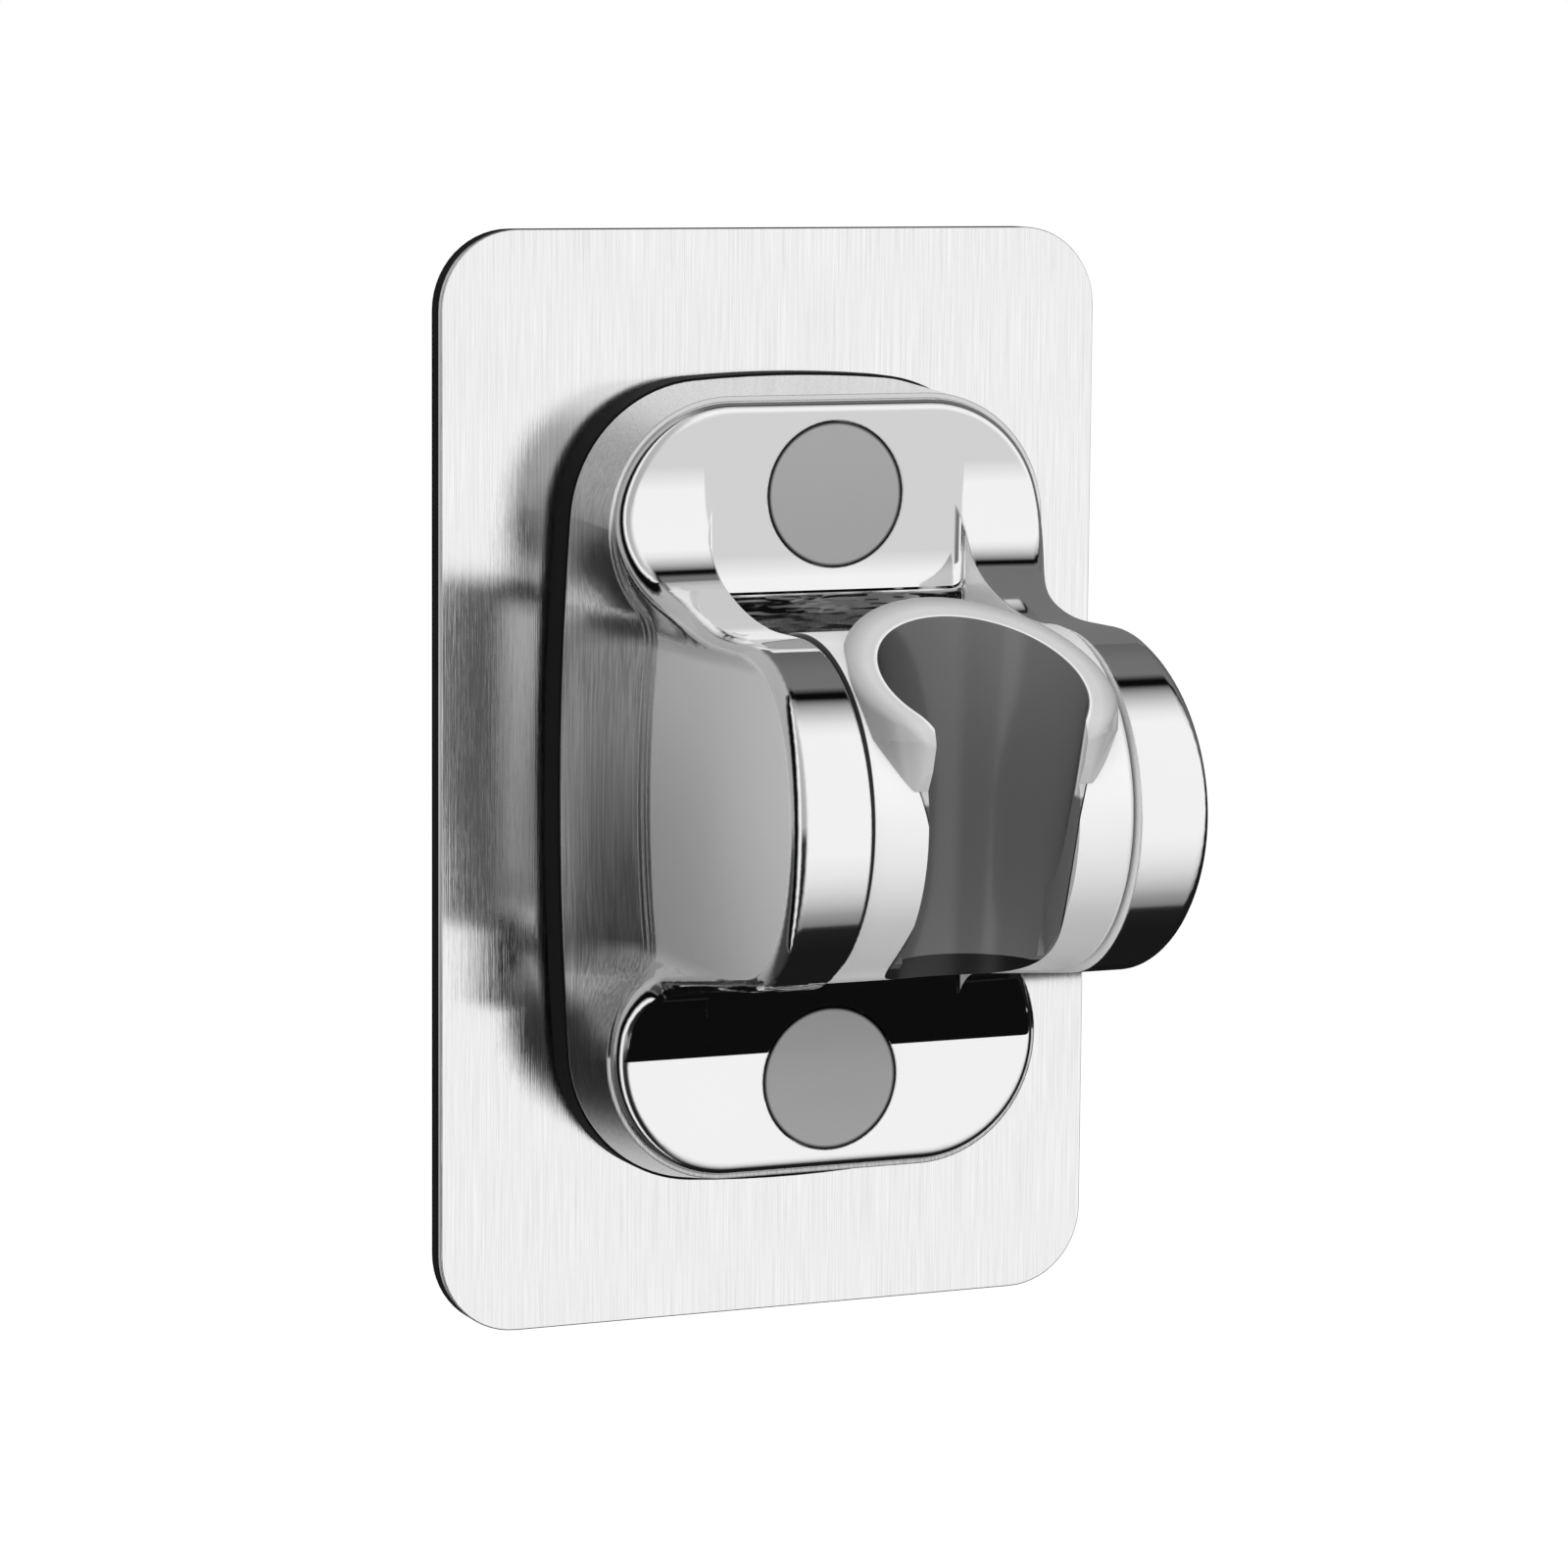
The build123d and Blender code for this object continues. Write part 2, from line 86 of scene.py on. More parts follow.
# %% [markdown]
# ## Helpers for node trees
# A finish and the sky are both trees of nodes. They could be joined by hand in the shader
# editor, but a script is easier to read and to change. Four small functions do all of it:
# one feeds a socket, one adds a node with its settings, one does a sum, and one does the
# same sum over several values.

# %% Add and feed nodes
def feed(tree, socket, value):
    """Link a socket to another one, or set it to a number, a vector or a colour."""
    if isinstance(value, bpy.types.NodeSocket):
        tree.links.new(value, socket)
    elif socket.type == "RGBA":
        socket.default_value = (*value[:3], 1)
    else:
        socket.default_value = value


def added(tree, kind, inputs, **settings):
    """A new node, with its settings made and its inputs fed by name or by number."""
    node = tree.nodes.new(kind)
    for name, value in settings.items():
        setattr(node, name, value)
    for key, value in inputs.items():
        feed(tree, node.inputs[key], value)
    return node


def worked_out(tree, operation, *values):
    """One math node on sockets or numbers."""
    inputs = dict(enumerate(values))
    return added(tree, "ShaderNodeMath", inputs, operation=operation).outputs["Value"]


def combined(tree, operation, first, *others):
    """Several values, joined one after the other by the same kind of math node."""
    for other in others:
        first = worked_out(tree, operation, first, other)
    return first


print("node helpers:", feed.__name__, added.__name__, worked_out.__name__, combined.__name__)

# %% [markdown]
# ## Helpers for patterns and places
# Every finish starts from the same shader and reads Object coordinates, which are metres
# in the shared frame. So a scratch or a brush line keeps its real size on every piece, and
# a change of finish can be set at a real height or distance.

# %% Patterns
def stretched(tree, coords, scale):
    """Coordinates made finer or coarser along each axis."""
    return added(tree, "ShaderNodeMapping", {"Vector": coords, "Scale": scale}).outputs["Vector"]


def noise(tree, vector, scale, detail=2.0, roughness=0.5):
    """A noise texture on the given coordinates."""
    inputs = {"Vector": vector, "Scale": scale, "Detail": detail, "Roughness": roughness}
    return added(tree, "ShaderNodeTexNoise", inputs).outputs["Fac"]


def spread(tree, value, low, high, start=0.0, end=1.0):
    """A value that runs from low to high while the given one runs from start to end."""
    inputs = {"Value": value, "From Min": start, "From Max": end, "To Min": low, "To Max": high}
    return added(tree, "ShaderNodeMapRange", inputs).outputs["Result"]


def beyond(tree, value, border):
    """0 before a border and 1 past it. A border is a pair: where it starts and ends."""
    return spread(tree, value, 0, 1, *border)


def within(tree, value, border):
    """1 before a border and 0 past it."""
    return spread(tree, value, 1, 0, *border)


# The Mix node has its own sockets for each kind of value, and these are the ones for colours.
FIRST_COLOUR = 6
SECOND_COLOUR = 7
MIXED_COLOUR = 2


def mixed(tree, factor, first, second):
    """Two colours, each a socket or a plain colour, mixed by a factor."""
    inputs = {0: factor, FIRST_COLOUR: first, SECOND_COLOUR: second}
    return added(tree, "ShaderNodeMix", inputs, data_type="RGBA").outputs[MIXED_COLOUR]


print("pattern helpers:", noise.__name__, spread.__name__, beyond.__name__, within.__name__)

# %% Places
def along_axis(tree, vector, axis):
    """One coordinate of a vector."""
    return added(tree, "ShaderNodeSeparateXYZ", {"Vector": vector}).outputs[axis]


def measure(tree, coords, centre, axes):
    """How far a point is from a centre, along the axes that are marked with 1."""
    offset = added(tree, "ShaderNodeVectorMath", {0: coords, 1: centre}, operation="SUBTRACT")
    flat = added(tree, "ShaderNodeVectorMath", {0: offset.outputs[0], 1: axes}, operation="MULTIPLY")
    length = added(tree, "ShaderNodeVectorMath", {0: flat.outputs[0]}, operation="LENGTH")
    return length.outputs["Value"]


print("place helpers:", along_axis.__name__, measure.__name__)

# %% The start of every finish
def grey(value):
    """A plain grey as a colour."""
    return (value, value, value)


WHITE = grey(1)


class Finish:
    """A material, with the sockets that later cells build on."""

    def __init__(self, name):
        self.material = bpy.data.materials.new(name)
        self.material.use_nodes = True
        self.tree = self.material.node_tree
        self.shader = self.tree.nodes["Principled BSDF"]
        self.coords = added(self.tree, "ShaderNodeTexCoord", {}).outputs["Object"]
        self.tone = None
        self.polish = None
        self.bump = None

    def set(self, **inputs):
        """Feed inputs of the shader. A name's words are joined by a low line."""
        for name, value in inputs.items():
            feed(self.tree, self.shader.inputs[name.replace("_", " ")], value)

    def at(self, axis):
        """One coordinate of the point that is shaded."""
        return along_axis(self.tree, self.coords, axis)

    def tint(self, value, dark, light):
        """A base colour between two, by a value. It is kept for later cells."""
        ramp = added(self.tree, "ShaderNodeValToRGB", {"Fac": value})
        ramp.color_ramp.elements[0].color = (*dark, 1)
        ramp.color_ramp.elements[1].color = (*light, 1)
        self.tone = ramp.outputs["Color"]
        self.set(Base_Color=self.tone)

    def relief(self, height, distance):
        """Fine relief on the surface, its depth in metres. It is kept for later cells."""
        inputs = {"Height": height, "Distance": distance, "Strength": 1.0}
        self.bump = added(self.tree, "ShaderNodeBump", inputs)
        self.set(Normal=self.bump.outputs["Normal"])


print("every finish has:", [name for name in dir(Finish) if not name.startswith("_")])

# %% [markdown]
# ## Plated castings
# The bracket and the cradle's barrel are polished and plated. Plating is a mirror, but
# never a perfect one: the polishing wheel leaves very shallow waves, and the wiped surface
# has a faint haze. Both are noise, one as relief and one as roughness.

# %% Plated metal
CLOUD_SCALE = 60.0
WAVE_SCALE = 140.0
WAVE_DEPTH = 0.000004
CLOUD_TINT = 0.97
MIRROR_HAZE = (0.03, 0.07)


def plated(name, shade, haze=MIRROR_HAZE):
    """A plated metal: its grey, and the range of its roughness."""
    finish = Finish(name)
    cloud = noise(finish.tree, finish.coords, CLOUD_SCALE, detail=3.0)
    finish.tint(cloud, grey(shade * CLOUD_TINT), grey(shade))
    finish.polish = spread(finish.tree, cloud, *haze)
    finish.set(Metallic=1.0, Roughness=finish.polish)
    finish.relief(noise(finish.tree, finish.coords, WAVE_SCALE, detail=1.0), WAVE_DEPTH)
    return finish


chrome_shell = plated("chrome_shell", 0.9)
print("plated:", chrome_shell.material.name)

# %% [markdown]
# ## The bracket's crinkles
# Two places on the casting were never polished flat: the trough behind the cradle and the
# undersides of the ears. Their mirror is crinkled. It could be modelled as relief, but it
# is finer than a mesh should be, so it is drawn-out noise that masks by position keep to
# those places.

# %% Where the casting is crinkled
PIVOT = Vector((0, -0.04533, 0.00223))
TROUGH_RADIUS = 0.0323
TROUGH_WALL = (TROUGH_RADIUS + 0.0001, TROUGH_RADIUS + 0.0003)
TROUGH_FRONT = (-0.0206, -0.0202)
TROUGH_SIDE = (0.0154, 0.0156)
UNDERSIDE_TOP = (-0.0152, -0.0142)
UNDERSIDE_BACK = (-0.0275, -0.0255)
UNDERSIDE_TILT = (0.4, 0.5)

tree = chrome_shell.tree
surface = added(tree, "ShaderNodeNewGeometry", {})
turned_out = worked_out(tree, "ABSOLUTE", along_axis(tree, surface.outputs["Normal"], "X"))
turned_front = worked_out(tree, "ABSOLUTE", along_axis(tree, surface.outputs["Normal"], "Y"))
sideways = measure(tree, chrome_shell.coords, PIVOT, (1, 0, 0))
from_pivot = measure(tree, chrome_shell.coords, PIVOT, (0, 1, 1))
in_trough = combined(
    tree, "MULTIPLY",
    within(tree, from_pivot, TROUGH_WALL),
    beyond(tree, chrome_shell.at("Y"), TROUGH_FRONT),
    within(tree, sideways, TROUGH_SIDE),
)
under_ears = combined(
    tree, "MULTIPLY",
    within(tree, chrome_shell.at("Z"), UNDERSIDE_TOP),
    within(tree, chrome_shell.at("Y"), UNDERSIDE_BACK),
    within(tree, turned_out, UNDERSIDE_TILT),
)
print("crinkles of the trough end", round(TROUGH_WALL[1] * 1000, 1), "mm from the pivot")

# %% [markdown]
# ## The bracket's edges
# A polishing wheel rounds every sharp edge a little, and that thin round is what catches
# the light. A bevel on the mesh would do it too, but a Bevel node rounds only the light and
# leaves the solid as it is. The waves and the crinkles are then laid over it.

# %% Round the edges and crinkle the metal
CRINKLE_STRETCH = (0.2, 1, 1)
CRINKLE_SCALE = 520.0
CRINKLE_DEPTH = 0.0008
EDGE_RADIUS = 0.00035
EDGE_SAMPLES = 6

crumple = noise(tree, stretched(tree, chrome_shell.coords, CRINKLE_STRETCH), CRINKLE_SCALE)
crinkles = worked_out(tree, "MULTIPLY", crumple, worked_out(tree, "MAXIMUM", in_trough, under_ears))
soft_edge = added(tree, "ShaderNodeBevel", {"Radius": EDGE_RADIUS}, samples=EDGE_SAMPLES)
feed(tree, chrome_shell.bump.inputs["Normal"], soft_edge.outputs["Normal"])
waves = chrome_shell.bump.outputs["Normal"]
chrome_shell.relief(crinkles, CRINKLE_DEPTH)
feed(tree, chrome_shell.bump.inputs["Normal"], waves)
print("edges rounded by", EDGE_RADIUS * 1000, "mm")

# %% [markdown]
# ## The bracket's outer faces
# The flat outer faces of the ears, here called cheeks, and the side wall look duller than the rest. The
# cheeks are part dull and part mirror, so they keep one even grey. The side wall has painted shade,
# deepest low down and faint at the top, and fine upright lines painted into its colour as the brushed
# panel's reflection. It could be a material of its own, but masks let each finish run into the next
# without a seam.

# %% The cheeks
CHEEK_TILT = (0.97, 0.99)
CHEEK_BACK = (-0.0212, -0.0205)
CHEEK_INSIDE = (0.0156, 0.0157)
CHEEK_DULL = 0.3
INNER_CHEEK_DULL = 0.5
CHEEK_ROUGHNESS = 0.3

cheeks = worked_out(
    tree, "MULTIPLY",
    beyond(tree, turned_out, CHEEK_TILT),
    within(tree, chrome_shell.at("Y"), CHEEK_BACK),
)
inner_cheeks = worked_out(tree, "MULTIPLY", cheeks, within(tree, sideways, CHEEK_INSIDE))
chrome_shell.set(Metallic=combined(
    tree, "SUBTRACT", 1.0,
    worked_out(tree, "MULTIPLY", cheeks, CHEEK_DULL),
    worked_out(tree, "MULTIPLY", inner_cheeks, INNER_CHEEK_DULL),
))
print("share of mirror on a cheek:", 1 - CHEEK_DULL)

# %% The side wall
WALL_FRONT = (-0.0186, -0.0182)
LOW_HEIGHTS = (-0.019, -0.013)
HIGH_HEIGHTS = (0.018, 0.036)
LOW_SHADE = 0.55
WAIST_SHADE = 0.33
TOP_SHADE = 0.05
LINE_STRETCH = (1, 1, 0.012)
LINE_SCALE = 4000.0
LINE_RANGE = (0.35, 0.7)
REFLECTED_LINE_SHADE = 0.35
WALL_PAINTED_SHADE = grey(0.15)
WALL_ROUGHNESS = 0.22

# Painted shade and painted reflection: the side wall's colour darkens by height, most low down, and
# upright lines stand for the brushed panel's reflection.
side_wall = beyond(tree, chrome_shell.at("Y"), WALL_FRONT)
painted_height_shade = worked_out(
    tree, "MINIMUM",
    spread(tree, chrome_shell.at("Z"), LOW_SHADE, WAIST_SHADE, *LOW_HEIGHTS),
    spread(tree, chrome_shell.at("Z"), LOW_SHADE, TOP_SHADE, *HIGH_HEIGHTS),
)
reflected_brush_lines = noise(tree, stretched(tree, chrome_shell.coords, LINE_STRETCH), LINE_SCALE, roughness=0.6)
painted_line_reflection = spread(tree, reflected_brush_lines, 0, REFLECTED_LINE_SHADE, *LINE_RANGE)
painted_wall_shade = worked_out(tree, "MULTIPLY", side_wall, worked_out(tree, "ADD", painted_height_shade, painted_line_reflection))
wall_with_painted_shade_and_lines = mixed(tree, painted_wall_shade, chrome_shell.tone, WALL_PAINTED_SHADE)
chrome_shell.set(Roughness=combined(
    tree, "MAXIMUM", chrome_shell.polish,
    worked_out(tree, "MULTIPLY", side_wall, WALL_ROUGHNESS),
    worked_out(tree, "MULTIPLY", cheeks, CHEEK_ROUGHNESS),
))
print("side wall behind y =", WALL_FRONT[1])

# %% [markdown]
# ## The upper lobe's face
# The face round the upper cap looks a tone darker than the white band below it. A grey card over the
# cradle would give that tone as a reflection, but it would hang very close to the holder. So the
# reflection is painted into the finish as a darker grey. It fades out where the face bends into the trough
# and, higher up, into the ears.

# %% The painted reflection on the upper face
FRONT_TILT = (0.93, 0.98)
EAR_SIDE = (0.0150, 0.0157)
EAR_RISE = 0.0100
FACE_FOOT = (0.0242, 0.0268)
FACE_PAINTED_REFLECTION = grey(0.64)

# Painted reflection: the upper face is mixed towards a grey that stands for a grey card's reflection.
ear_drop = spread(tree, sideways, 0, -EAR_RISE, *EAR_SIDE)
upper_face_reflection = worked_out(
    tree, "MULTIPLY",
    beyond(tree, turned_front, FRONT_TILT),
    beyond(tree, worked_out(tree, "ADD", chrome_shell.at("Z"), ear_drop), FACE_FOOT),
)
chrome_shell.set(Base_Color=mixed(tree, upper_face_reflection, wall_with_painted_shade_and_lines, FACE_PAINTED_REFLECTION))
print("tone starts at z =", FACE_FOOT[0], "and on the ears at", round(FACE_FOOT[0] + EAR_RISE, 4))

# %% [markdown]
# ## The bore's cone
# The bore and the slot stay in shade, on the barrel and on the liner alike. Lamps alone
# would leave them too bright, because the room's light is so even. So both finishes ask how
# far a point is from the bore. The bore leans and tapers, and a Mapping node first lays
# the coordinates along its axis.

# %% Distance from the bore
BORE_MOUTH = Vector((0, -0.0588, 0.0166))
BORE_LEAN = math.radians(5.6)
BORE_RADIUS = 0.0111
FOOT_RADIUS = 0.0080
BORE_DEPTH = 0.0287
BORE_TAPER = (BORE_RADIUS - FOOT_RADIUS) / BORE_DEPTH


def bore_distance(finish):
    """How far outside the bore's cone a point lies, and how high along its axis."""
    tree = finish.tree
    inputs = {"Vector": finish.coords, "Location": BORE_MOUTH, "Rotation": (BORE_LEAN, 0, 0)}
    laid = added(tree, "ShaderNodeMapping", inputs, vector_type="TEXTURE").outputs["Vector"]
    height = along_axis(tree, laid, "Z")
    from_axis = measure(tree, laid, (0, 0, 0), (1, 1, 0))
    cone = worked_out(tree, "ADD", worked_out(tree, "MULTIPLY", height, BORE_TAPER), BORE_RADIUS)
    return worked_out(tree, "SUBTRACT", from_axis, cone), height


print("bore narrows by", round(BORE_TAPER * 10, 2), "mm in radius over 10 mm of depth")

# %% [markdown]
# ## The cradle's barrel
# The barrel is plated over a finely blasted surface, so it is satin beside the mirror of the ears:
# rougher, and with only a third of a mirror in it. Its bore and the end that turns into the left gap are
# painted nearly black, as shade.

# %% Satin plating
BARREL_SHADE = 0.93
BARREL_HAZE = (0.3, 0.36)
BARREL_MIRROR = 0.35
BARREL_PAINTED_SHADE = grey(0.02)
LINER_WALL = (0.00122, 0.00126)
BARREL_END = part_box("cradle_barrel")[1].x
LEFT_END = (0.0004 - BARREL_END, 0.0005 - BARREL_END)

chrome_barrel = plated("chrome_barrel", BARREL_SHADE, haze=BARREL_HAZE)
tree = chrome_barrel.tree
outside, _ = bore_distance(chrome_barrel)
# Painted shade: the bore and the end in the left gap are mixed towards near black.
in_shade = worked_out(
    tree, "MAXIMUM",
    within(tree, outside, LINER_WALL),
    within(tree, chrome_barrel.at("X"), LEFT_END),
)
chrome_barrel.set(
    Metallic=BARREL_MIRROR,
    Base_Color=mixed(tree, in_shade, chrome_barrel.tone, BARREL_PAINTED_SHADE),
)
print("barrel ends at x =", round(BARREL_END * 1000, 2), "mm")

# %% [markdown]
# ## The caps
# The two round caps are a flat satin grey, with no mirror in them. They start from the
# plated finish for its clouds and waves, and are then set to have no metal in them. The
# thin gap round each is too narrow to darken by itself in even light, so a ring of shade by
# distance from the cap's centre marks where its rim drops into the casting.

# %% The caps, with a shaded rim
CAP_SHADE = 0.43
CAP_HAZE = (0.4, 0.5)
CAP_SPECULAR = 0.25
RIM_START = 0.0004
RIM_END = 0.0001
RIM_DARK = grey(0.01)

chrome_cap = plated("chrome_cap", CAP_SHADE, haze=CAP_HAZE)
tree = chrome_cap.tree
rims = []
for cap in ("screw_cap_upper", "screw_cap_lower"):
    cap_low, cap_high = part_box(cap)
    cap_radius = (cap_high.x - cap_low.x) / 2
    from_centre = measure(tree, chrome_cap.coords, (cap_low + cap_high) / 2, (1, 0, 1))
    rims.append(beyond(tree, from_centre, (cap_radius - RIM_START, cap_radius - RIM_END)))
rim = combined(tree, "MINIMUM", *rims)
chrome_cap.set(
    Metallic=0.0,
    Specular_IOR_Level=CAP_SPECULAR,
    Base_Color=mixed(tree, rim, chrome_cap.tone, RIM_DARK),
)
print("cap radius:", round(cap_radius * 1000, 2), "mm")

# %% [markdown]
# ## The brushed panel
# The wall panel is thin steel with upright brush lines. Each line is a groove about a tenth
# of a millimetre wide and ten or more long, so the pattern is noise drawn out along one
# axis. It tints the metal a little, roughens it and lifts it as relief. A picture of brushed
# metal would do it too, but noise has no seams. The studs, nuts, pins and springs have the
# same finish, drawn out along another axis.

# %% Brushed steel
BRUSH_SCALE = 6000.0
BRUSH_RANGE = (0.3, 0.7)
BRUSH_DEPTH = 0.000006
BRUSH_CONTRAST = 0.8
UPRIGHT = (1, 1, 0.012)
ALONG_Y = (1, 0.05, 1)
ALONG_X = (0.05, 1, 1)


def brushed(name, shade, roughness, along, depth=BRUSH_DEPTH, contrast=BRUSH_CONTRAST):
    """Brushed metal: its grey, its roughness, and the axis that its lines follow."""
    finish = Finish(name)
    drawn = stretched(finish.tree, finish.coords, along)
    lines = noise(finish.tree, drawn, BRUSH_SCALE, detail=3.0, roughness=0.7)
    finish.tint(beyond(finish.tree, lines, BRUSH_RANGE), [part * contrast for part in shade], shade)
    finish.set(Metallic=1.0, Roughness=spread(finish.tree, lines, *roughness))
    finish.relief(lines, depth)
    return finish


brushed_panel = brushed(
    "brushed_panel", grey(0.97), roughness=(0.07, 0.15), along=UPRIGHT, depth=0.00001, contrast=0.78,
)
steel_fixing = brushed("steel_fixing", (0.6, 0.6, 0.59), roughness=(0.25, 0.4), along=ALONG_Y)
spring_steel = brushed("spring_steel", (0.45, 0.45, 0.46), roughness=(0.3, 0.45), along=ALONG_X)
print("brushed:", [finish.material.name for finish in (brushed_panel, steel_fixing, spring_steel)])

# %% [markdown]
# ## Rubber, foam and plastic
# These surfaces are dull, with a grain from the mould or from the foam's cells. One plain
# colour would look painted on, so each gets a small mottling of colour and roughness, and
# a grain as relief.

# %% Moulded and foamed surfaces
MOTTLE_SCALE = 220.0


def moulded(name, dark, light, roughness, grain_scale, grain_depth, specular=0.5):
    """A dull surface between two colours, with a grain of a given scale and depth."""
    finish = Finish(name)
    mottle = noise(finish.tree, finish.coords, MOTTLE_SCALE, detail=3.0)
    finish.tint(mottle, dark, light)
    finish.set(Specular_IOR_Level=specular, Roughness=spread(finish.tree, mottle, *roughness))
    finish.relief(noise(finish.tree, finish.coords, grain_scale), grain_depth)
    return finish


bush_plastic = moulded(
    "bush_plastic", (0.76, 0.76, 0.73), (0.84, 0.84, 0.8),
    roughness=(0.4, 0.5), grain_scale=1500.0, grain_depth=0.00001,
)
gasket_rubber = moulded(
    "gasket_rubber", grey(0.004), grey(0.008),
    roughness=(0.6, 0.75), grain_scale=2500.0, grain_depth=0.00002, specular=0.1,
)
adhesive_foam = moulded(
    "adhesive_foam", grey(0.004), grey(0.01),
    roughness=(0.75, 0.9), grain_scale=3500.0, grain_depth=0.00006, specular=0.1,
)
ring_rubber = moulded(
    "ring_rubber", grey(0.012), grey(0.02),
    roughness=(0.5, 0.6), grain_scale=2500.0, grain_depth=0.00001, specular=0.4,
)
print("moulded:", [finish.material.name for finish in (bush_plastic, gasket_rubber, adhesive_foam)])

# %% [markdown]
# ## The liner
# The liner is a pale plastic with a soft gloss. A painted highlight lightens the thin lip round the mouth,
# and painted shade darkens the collar towards its edge. Its inside is painted shade, a dark grey that is a
# little lighter on the right. Three materials could be laid on three sets of faces, but the change is
# soft, so all three tones follow the distance from the bore.

# %% Pale plastic with a painted highlight and painted shade
LIP = (0.00015, 0.0005)
COLLAR_EDGE = (0.0014, 0.0034)
BORE_WALL = (0.00008, 0.00014)
BORE_FOOT = (-0.0116, -0.0112)
BORE_WIDTH = (-0.008, 0.006)
LIP_PAINTED_HIGHLIGHT = grey(0.85)
EDGE_PAINTED_SHADE = grey(0.33)
BORE_SHADE_LEFT = grey(0.09)
BORE_SHADE_RIGHT = grey(0.17)

liner_plastic = moulded(
    "liner_plastic", grey(0.56), grey(0.62),
    roughness=(0.14, 0.2), grain_scale=1800.0, grain_depth=0.000002,
)
tree = liner_plastic.tree
outside, height = bore_distance(liner_plastic)
# Painted highlight and painted shade: a pale lip, a collar darkening towards its edge, and a dark bore a
# little lighter on the right.
in_bore = worked_out(
    tree, "MAXIMUM",
    within(tree, outside, BORE_WALL),
    within(tree, height, BORE_FOOT),
)
collar_with_painted_shade = mixed(tree, beyond(tree, outside, COLLAR_EDGE), liner_plastic.tone, EDGE_PAINTED_SHADE)
collar_with_painted_light = mixed(tree, within(tree, outside, LIP), collar_with_painted_shade, LIP_PAINTED_HIGHLIGHT)
painted_bore_shade = mixed(tree, beyond(tree, liner_plastic.at("X"), BORE_WIDTH), BORE_SHADE_LEFT, BORE_SHADE_RIGHT)
liner_plastic.set(Base_Color=mixed(tree, in_bore, collar_with_painted_light, painted_bore_shade))
print("liner lip:", round(LIP[1] * 1000, 2), "mm wide")

# %% [markdown]
# ## From slots to finishes
# Each solid came in with a plain material in one slot, and the record says which slot it
# is. So the finishes are handed out by the record, and no piece can be forgotten.

# %% Give every solid its finish
finishes = {
    "adhesive_foam": adhesive_foam,
    "brushed_panel": brushed_panel,
    "gasket_rubber": gasket_rubber,
    "chrome_shell": chrome_shell,
    "chrome_barrel": chrome_barrel,
    "chrome_cap": chrome_cap,
    "liner_plastic": liner_plastic,
    "steel_fixing": steel_fixing,
    "spring_steel": spring_steel,
    "bush_plastic": bush_plastic,
    "ring_rubber": ring_rubber,
}
for part in frame["record"]["subparts"]:
    solid = nodes[part["node"]]
    for slot in solid.material_slots:
        slot.material = finishes[part["material_slot"]].material

# %% [markdown]
# ## What stays out of the mirrors
# Two mirror images would break up the clean bands of light: that of the black gasket in the
# panel and the ears, and that of the pale collar in the upper lobe. They could be
# painted out of a finished picture. Here the two pieces aren't seen by mirror rays.

# %% Keep two pieces out of the mirrors
UNSEEN_IN_MIRRORS = ("mounting_gasket", "cradle_liner")
for name in UNSEEN_IN_MIRRORS:
    nodes[name].visible_glossy = False
print("not mirrored:", *UNSEEN_IN_MIRRORS)

# %% [markdown]
# ## The floor
# A product picture stands on paper that is white to its far end. The floor is a large pale
# sheet well below the holder. Most of what the camera sees of it is a plain glow, which
# keeps it white, and the rest is lit by the lamps.

# %% Floor
FLOOR_DEPTH = 0.45
FLOOR_SIZE = 6.0
FLOOR_GREY = grey(0.9)
FLOOR_ROUGHNESS = 0.9
FLOOR_GLOW = 1.07
GLOW_SHARE = 0.9

sweep = bmesh.new()
bmesh.ops.create_grid(sweep, x_segments=1, y_segments=1, size=FLOOR_SIZE)
bmesh.ops.translate(sweep, verts=sweep.verts, vec=(0, 0, -FLOOR_DEPTH))
floor_mesh = bpy.data.meshes.new("studio_floor")
sweep.to_mesh(floor_mesh)
sweep.free()
floor = bpy.data.objects.new("studio_floor", floor_mesh)
scene.collection.objects.link(floor)

floor_paint = Finish("floor_paint")
floor_paint.set(Base_Color=FLOOR_GREY, Roughness=FLOOR_ROUGHNESS, Specular_IOR_Level=0.0)
tree = floor_paint.tree
paper = added(tree, "ShaderNodeEmission", {"Color": WHITE, "Strength": FLOOR_GLOW})
seen = added(tree, "ShaderNodeLightPath", {})
share = worked_out(tree, "MULTIPLY", seen.outputs["Is Camera Ray"], GLOW_SHARE)
cover = added(tree, "ShaderNodeMixShader", {
    0: share,
    1: floor_paint.shader.outputs["BSDF"],
    2: paper.outputs["Emission"],
})
feed(tree, tree.nodes["Material Output"].inputs["Surface"], cover.outputs["Shader"])
floor_mesh.materials.append(floor_paint.material)
floor.visible_glossy = False
print("floor at z =", -FLOOR_DEPTH)

# %% [markdown]
# ## The room in the mirrors
# Polished metal has no look of its own: it shows the room. A product photographer builds
# that room from white paper, grey card and gaps between them, so each curve of the metal
# gets a bright band with a crisp dark edge. It could be built from real sheets, but here
# it is a sky, written as light levels along an angle, that only mirror rays see.

# %% Angles of the sky
DEGREES = 180 / math.pi

world = bpy.data.worlds.new("studio_world")
scene.world = world
world.use_nodes = True
sky = world.node_tree
direction = added(sky, "ShaderNodeTexCoord", {})
split = added(sky, "ShaderNodeSeparateXYZ", {"Vector": direction.outputs["Generated"]})

# East is along X, north is along Y and into the wall, and zenith is up.
east, north, zenith = split.outputs
ahead = worked_out(sky, "MULTIPLY", north, -1.0)
pitch = worked_out(sky, "MULTIPLY", worked_out(sky, "ARCTAN2", zenith, ahead), DEGREES)
turn = worked_out(sky, "MULTIPLY", worked_out(sky, "ARCTAN2", east, ahead), DEGREES)
rise = worked_out(sky, "MULTIPLY", worked_out(sky, "ARCSINE", zenith), DEGREES)
print("the sky is read by pitch, turn and rise, in degrees")

